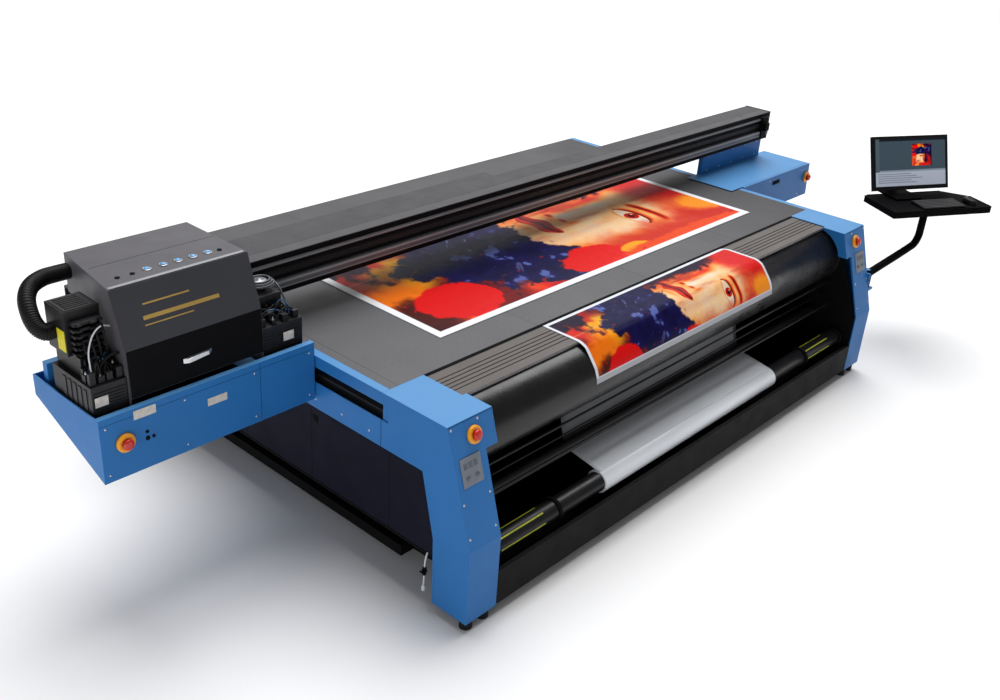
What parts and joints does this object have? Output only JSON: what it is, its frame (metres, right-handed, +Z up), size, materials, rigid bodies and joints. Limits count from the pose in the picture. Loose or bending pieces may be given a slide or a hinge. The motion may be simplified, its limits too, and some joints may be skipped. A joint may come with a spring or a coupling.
{
  "type": "flatbed uv printer",
  "caption": "Hybrid flatbed UV printer: flat suction table under a moving gantry, roll-to-roll module in front, operator's monitor on a side arm.",
  "frame": {"origin": "centre of the footprint, on the floor", "axes": "+X along the gantry to the operator's right, +Y from the front with the roll module to the back, +Z up"},
  "size_m": [5.306, 2.447, 1.31],
  "materials": {
    "blue_paint": "smooth semi-gloss powder coat",
    "table_aluminium": "hard-anodised, fine matt grey with suction holes",
    "navy_panels": "fine-textured powder coat",
    "chassis_black": "satin black paint",
    "rail_steel": "ground linear rail",
    "rubber_feet": "matt black rubber",
    "cabinet_grey": "light textured powder coat",
    "pump_casting": "painted casting",
    "platen_aluminium": "warm-grey anodised extrusion",
    "drum_coating": "satin black roller coating",
    "roller_black": "black anodised tube",
    "print_board": "white foamed PVC board with a full-colour print",
    "print_media": "white print media, lightly glossy",
    "beam_grey": "grey satin paint on an aluminium beam",
    "black_rubber": "ribbed black rubber",
    "capping_plastic": "black plastic with rubber caps",
    "carriage_black": "black anodised",
    "shroud_grey": "grey satin powder coat",
    "shroud_charcoal": "charcoal satin powder coat",
    "button_lit": "translucent blue illuminated button",
    "stop_yellow": "yellow plastic",
    "stop_red": "red plastic",
    "arm_black": "black powder coat",
    "device_black": "black computer plastic"
  },
  "bodies": {
    "machine": {"table_top": "table_aluminium", "printed_board": "print_board", "rear_panel": "navy_panels", "left_rail_cover": "blue_paint", "right_rail_cover": "blue_paint", "left_lower_panel": "navy_panels", "right_lower_panel": "navy_panels", "left_leg": "blue_paint", "right_leg": "blue_paint", "left_y_rail": "rail_steel", "right_y_rail": "rail_steel", "chassis": "chassis_black", "front_left_foot": "rubber_feet", "front_right_foot": "rubber_feet", "rear_left_foot": "rubber_feet", "rear_right_foot": "rubber_feet", "control_cabinet": "cabinet_grey", "vacuum_pump": "pump_casting", "front_platen": "platen_aluminium", "printed_sheet": "print_media", "media_web": "print_media", "left_leg_stop_collar": "stop_yellow", "right_leg_stop_collar": "stop_yellow"},
    "gantry": {"gantry_beam": "beam_grey", "upper_x_rail": "rail_steel", "lower_x_rail": "rail_steel", "drive_belt": "black_rubber", "left_gantry_wall": "blue_paint", "right_gantry_wall": "blue_paint", "left_station": "blue_paint", "right_station": "blue_paint", "left_station_stop_collar": "stop_yellow", "right_station_stop_collar": "stop_yellow"},
    "carriage": {"carriage_slider": "carriage_black", "carriage_shroud": "shroud_grey", "left_uv_lamp": "carriage_black", "right_uv_lamp": "carriage_black", "cable_loop": "black_rubber"},
    "heads": {"print_head_block": "carriage_black"},
    "capping": {"capping_block": "capping_plastic"},
    "door": {"shroud_door": "shroud_charcoal"},
    "drum": {"feed_drum": "drum_coating"},
    "tensioner": {"tension_roller": "roller_black"},
    "media_shaft": {"air_shaft": "roller_black", "media_roll": "print_media"},
    "arm": {"monitor_arm": "arm_black"},
    "tray": {"operator_tray": "arm_black", "keyboard": "device_black", "mouse": "device_black", "monitor_stand": "arm_black"},
    "screen": {"monitor": "device_black"},
    "button_1": {"carriage_button_1": "button_lit"},
    "button_2": {"carriage_button_2": "button_lit"},
    "button_3": {"carriage_button_3": "button_lit"},
    "button_4": {"carriage_button_4": "button_lit"},
    "button_5": {"carriage_button_5": "button_lit"},
    "left_leg_stop": {"left_leg_stop_knob": "stop_red"},
    "right_leg_stop": {"right_leg_stop_knob": "stop_red"},
    "left_station_stop": {"left_station_stop_knob": "stop_red"},
    "right_station_stop": {"right_station_stop_knob": "stop_red"}
  },
  "joints": [
    {"name": "gantry_travel", "type": "slide", "parent": "machine", "child": "gantry", "axis": [0, 1, 0], "range_m": [-0.44, 0.9]},
    {"name": "carriage_travel", "type": "slide", "parent": "gantry", "child": "carriage", "axis": [1, 0, 0], "range_m": [0, 3.88]},
    {"name": "head_lift", "type": "slide", "parent": "carriage", "child": "heads", "axis": [0, 0, 1], "range_m": [-0.015, 0.08]},
    {"name": "capping_lift", "type": "slide", "parent": "gantry", "child": "capping", "axis": [0, 0, 1], "range_m": [0, 0.018]},
    {"name": "shroud_door_hinge", "type": "hinge", "parent": "carriage", "child": "door", "pos_m": [-2.16976, -0.02645, 1.305], "axis": [-1, 0, 0], "range_deg": [0, 75]},
    {"name": "feed_drum_spin", "type": "hinge", "parent": "machine", "child": "drum", "pos_m": [-0.04076, -0.69545, 0.682], "axis": [1, 0, 0], "continuous": true},
    {"name": "tension_roller_spin", "type": "hinge", "parent": "machine", "child": "tensioner", "pos_m": [-0.04076, -0.73445, 0.352], "axis": [1, 0, 0], "continuous": true},
    {"name": "media_roll_spin", "type": "hinge", "parent": "machine", "child": "media_shaft", "pos_m": [-0.04076, -0.90545, 0.242], "axis": [1, 0, 0], "continuous": true},
    {"name": "monitor_arm_swing", "type": "hinge", "parent": "machine", "child": "arm", "pos_m": [1.65124, -0.92045, 0.545], "axis": [0, 0, 1], "range_deg": [-60, 20]},
    {"name": "tray_swivel", "type": "hinge", "parent": "arm", "child": "tray", "pos_m": [2.20924, -0.96045, 0.815], "axis": [0, 0, 1], "range_deg": [-45, 45]},
    {"name": "monitor_tilt", "type": "hinge", "parent": "tray", "child": "screen", "pos_m": [2.3882, -0.70979, 1.02], "axis": [0.8746, -0.4848, 0], "range_deg": [-3, 15]},
    {"name": "carriage_button_1_press", "type": "slide", "parent": "carriage", "child": "button_1", "axis": [0, 0, -1], "range_m": [0, 0.003], "stiffness_N_per_m": 600},
    {"name": "carriage_button_2_press", "type": "slide", "parent": "carriage", "child": "button_2", "axis": [0, 0, -1], "range_m": [0, 0.003], "stiffness_N_per_m": 600},
    {"name": "carriage_button_3_press", "type": "slide", "parent": "carriage", "child": "button_3", "axis": [0, 0, -1], "range_m": [0, 0.003], "stiffness_N_per_m": 600},
    {"name": "carriage_button_4_press", "type": "slide", "parent": "carriage", "child": "button_4", "axis": [0, 0, -1], "range_m": [0, 0.003], "stiffness_N_per_m": 600},
    {"name": "carriage_button_5_press", "type": "slide", "parent": "carriage", "child": "button_5", "axis": [0, 0, -1], "range_m": [0, 0.003], "stiffness_N_per_m": 600},
    {"name": "left_leg_stop_press", "type": "slide", "parent": "machine", "child": "left_leg_stop", "axis": [0, 0.9561, -0.2929], "range_m": [0, 0.003], "stiffness_N_per_m": 2500},
    {"name": "right_leg_stop_press", "type": "slide", "parent": "machine", "child": "right_leg_stop", "axis": [0, 0.9561, -0.2929], "range_m": [0, 0.003], "stiffness_N_per_m": 2500},
    {"name": "left_station_stop_press", "type": "slide", "parent": "gantry", "child": "left_station_stop", "axis": [0, 1, 0], "range_m": [0, 0.003], "stiffness_N_per_m": 2500},
    {"name": "right_station_stop_press", "type": "slide", "parent": "gantry", "child": "right_station_stop", "axis": [0, 1, 0], "range_m": [0, 0.003], "stiffness_N_per_m": 2500}
  ]
}
